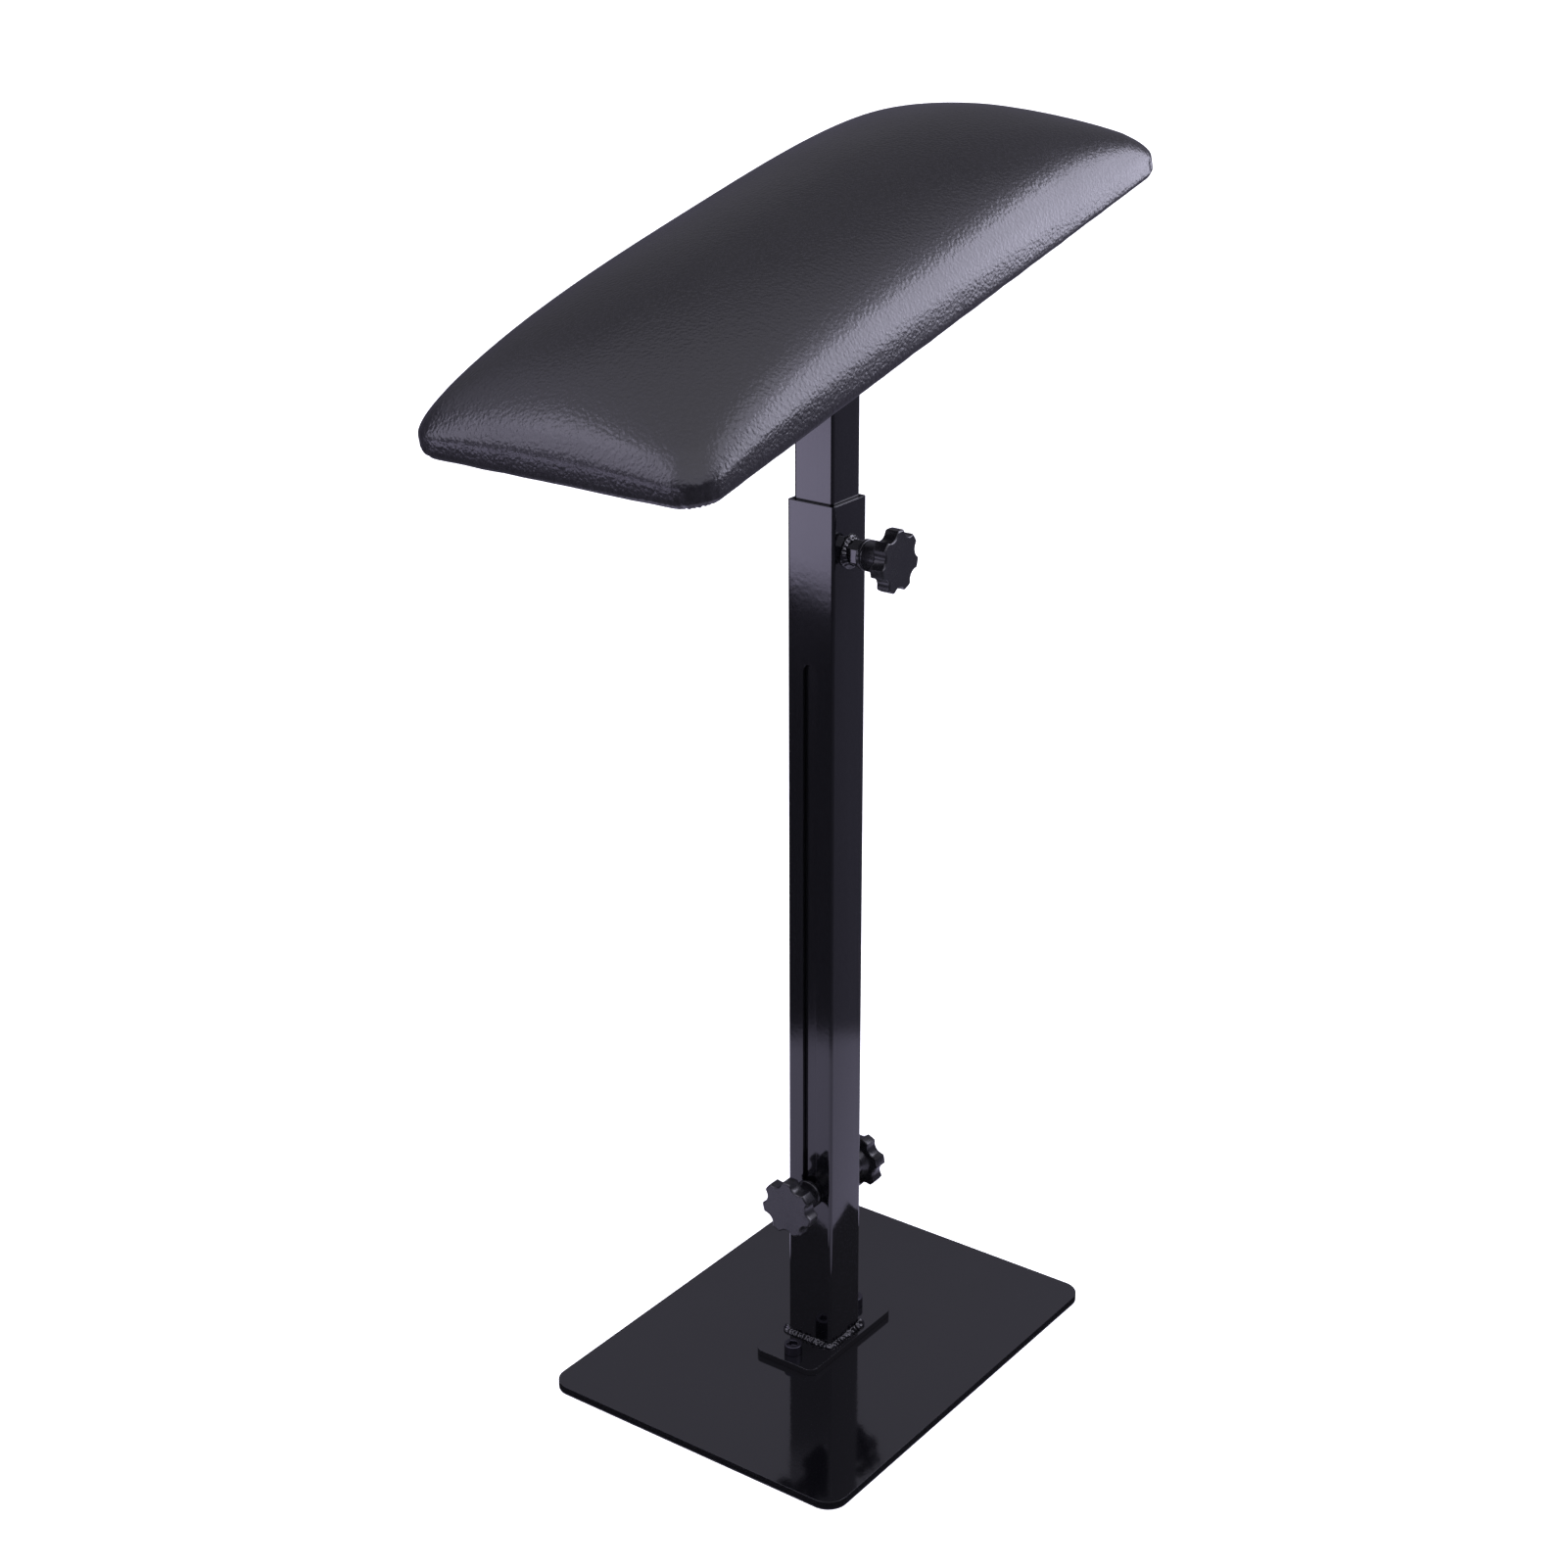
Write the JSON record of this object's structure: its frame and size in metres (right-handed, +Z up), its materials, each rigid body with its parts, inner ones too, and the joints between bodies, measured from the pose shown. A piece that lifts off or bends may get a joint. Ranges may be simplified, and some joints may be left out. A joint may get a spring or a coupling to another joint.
{
  "type": "tattoo arm rest stand",
  "caption": "Free-standing padded arm rest whose cushion tilts on a square post that slides up out of a slotted steel tube and is clamped by star knobs.",
  "frame": {"origin": "centre of the base plate's underside, below the post's axis", "axes": "+Z up along the post, +X along the pad towards its raised end, -Y towards the side that carries the upper clamp knob"},
  "size_m": [0.4068, 0.2, 0.703],
  "materials": {
    "black_paint": "gloss black powder coat over steel",
    "black_screw": "black oxide steel",
    "zinc": "bright zinc plate",
    "black_plastic": "satin black moulded plastic",
    "plywood": "bare plywood",
    "foam": "open cell upholstery foam",
    "black_leather": "satin black synthetic leather with a fine grain",
    "dust_cloth": "black spun dust cloth"
  },
  "bodies": {
    "stand": {"base_plate": "black_paint", "foot_flange": "black_paint", "foot_weld": "black_paint", "flange_screws": "black_screw", "outer_tube": "black_paint", "upper_weld_nut": "black_paint", "upper_nut_weld": "black_paint"},
    "mast": {"inner_tube": "black_paint", "lower_clamp_nuts": "zinc", "tube_end_plug": "black_plastic"},
    "pad_head": {"bracket_plate": "black_paint", "tilt_fork": "black_paint", "fork_welds": "black_paint", "bracket_screws": "zinc", "tee_nuts": "zinc", "pivot_bolt": "zinc", "friction_washers": "black_plastic", "tilt_washer": "zinc", "pad_board": "plywood", "foam_core": "foam", "leather_cover": "black_leather", "dust_cover": "dust_cloth", "staples": "zinc"},
    "upper_clamp_screw": {"upper_clamp_stud": "zinc"},
    "upper_clamp_knob": {"upper_knob_head": "black_plastic"},
    "left_clamp_screw": {"lower_left_stud": "zinc"},
    "left_clamp_knob": {"lower_left_knob_head": "black_plastic"},
    "right_clamp_screw": {"lower_right_stud": "zinc"},
    "right_clamp_knob": {"lower_right_knob_head": "black_plastic"},
    "tilt_clamp_nut": {"tilt_knob_insert": "zinc"},
    "tilt_clamp_knob": {"tilt_knob_head": "black_plastic"}
  },
  "joints": [
    {"name": "post_height", "type": "slide", "parent": "stand", "child": "mast", "axis": [0, 0, 1], "range_m": [0, 0.316]},
    {"name": "pad_tilt", "type": "hinge", "parent": "mast", "child": "pad_head", "pos_m": [0, 0, 0.586], "axis": [0, 1, 0], "range_deg": [-66.5, 93.5]},
    {"name": "upper_clamp_travel", "type": "slide", "parent": "stand", "child": "upper_clamp_screw", "axis": [0, -1, 0], "range_m": [0, 0.0025]},
    {"name": "upper_clamp_turn", "type": "hinge", "parent": "upper_clamp_screw", "child": "upper_clamp_knob", "pos_m": [0, -0.015, 0.491], "axis": [0, -1, 0], "range_deg": [0, 720]},
    {"name": "left_clamp_travel", "type": "slide", "parent": "mast", "child": "left_clamp_screw", "axis": [-1, 0, 0], "range_m": [0, 0.0025]},
    {"name": "left_clamp_turn", "type": "hinge", "parent": "left_clamp_screw", "child": "left_clamp_knob", "pos_m": [-0.015, 0, 0.108], "axis": [-1, 0, 0], "range_deg": [0, 720]},
    {"name": "right_clamp_travel", "type": "slide", "parent": "mast", "child": "right_clamp_screw", "axis": [1, 0, 0], "range_m": [0, 0.0025]},
    {"name": "right_clamp_turn", "type": "hinge", "parent": "right_clamp_screw", "child": "right_clamp_knob", "pos_m": [0.015, 0, 0.108], "axis": [1, 0, 0], "range_deg": [0, 720]},
    {"name": "tilt_clamp_travel", "type": "slide", "parent": "pad_head", "child": "tilt_clamp_nut", "axis": [0, 1, 0], "range_m": [0, 0.0025]},
    {"name": "tilt_clamp_turn", "type": "hinge", "parent": "tilt_clamp_nut", "child": "tilt_clamp_knob", "pos_m": [0, 0.018, 0.586], "axis": [0, 1, 0], "range_deg": [0, 720]}
  ],
  "couplings": [
    {"joint": "upper_clamp_turn", "follows": "upper_clamp_travel", "rad_per_m": 5026.5},
    {"joint": "left_clamp_turn", "follows": "left_clamp_travel", "rad_per_m": 5026.5},
    {"joint": "right_clamp_turn", "follows": "right_clamp_travel", "rad_per_m": 5026.5},
    {"joint": "tilt_clamp_turn", "follows": "tilt_clamp_travel", "rad_per_m": 5026.5}
  ]
}
